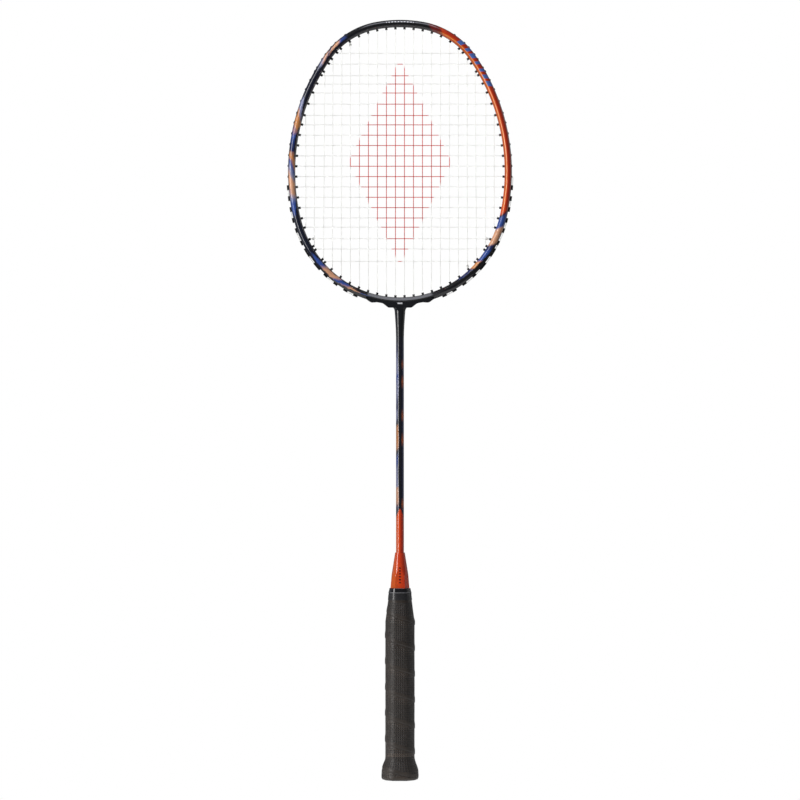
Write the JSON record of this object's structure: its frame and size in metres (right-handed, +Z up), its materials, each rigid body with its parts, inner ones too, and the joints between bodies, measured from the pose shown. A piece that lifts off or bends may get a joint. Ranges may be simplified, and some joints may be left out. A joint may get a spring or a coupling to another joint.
{
  "type": "badminton racket",
  "caption": "Full-size strung badminton racket: ridged oval carbon hoop, moulded throat, round shaft, pencil-faced cone cap and wrapped eight-sided grip.",
  "frame": {"origin": "centre of the butt's flat end face", "axes": "+Z up the handle and shaft to the top of the head, X across the head, Y normal to the string bed, with the front facing -Y"},
  "size_m": [0.2011, 0.0306, 0.675],
  "materials": {
    "frame_lacquer": "clear-coated pearl lacquer, black to orange",
    "throat_black": "clear-coated black lacquer",
    "tee_metal": "matte",
    "shaft_lacquer": "clear-coated black lacquer",
    "cone_orange": "satin lacquer",
    "handle_wood": "sanded",
    "butt_black": "matte",
    "grip_tape": "tacky, perforated",
    "tape_gloss": "glossy",
    "string_white": "braided, slightly glossy",
    "nylon_black": "satin"
  },
  "bodies": {
    "root": {"head_frame": "frame_lacquer", "throat_joint": "throat_black", "t_joint": "tee_metal", "shaft": "shaft_lacquer", "cone_cap": "cone_orange", "handle_core": "handle_wood", "butt_plate": "butt_black", "grip_wrap": "grip_tape", "finishing_tape": "tape_gloss", "main_strings": "string_white", "cross_strings": "string_white", "grommets_top": "nylon_black", "grommets_shoulder_left": "nylon_black", "grommets_shoulder_right": "nylon_black", "grommets_upper_left": "nylon_black", "grommets_upper_right": "nylon_black", "grommets_side_left": "nylon_black", "grommets_side_right": "nylon_black", "grommets_lower_left": "nylon_black", "grommets_lower_right": "nylon_black", "grommets_throat": "nylon_black"}
  },
  "joints": []
}
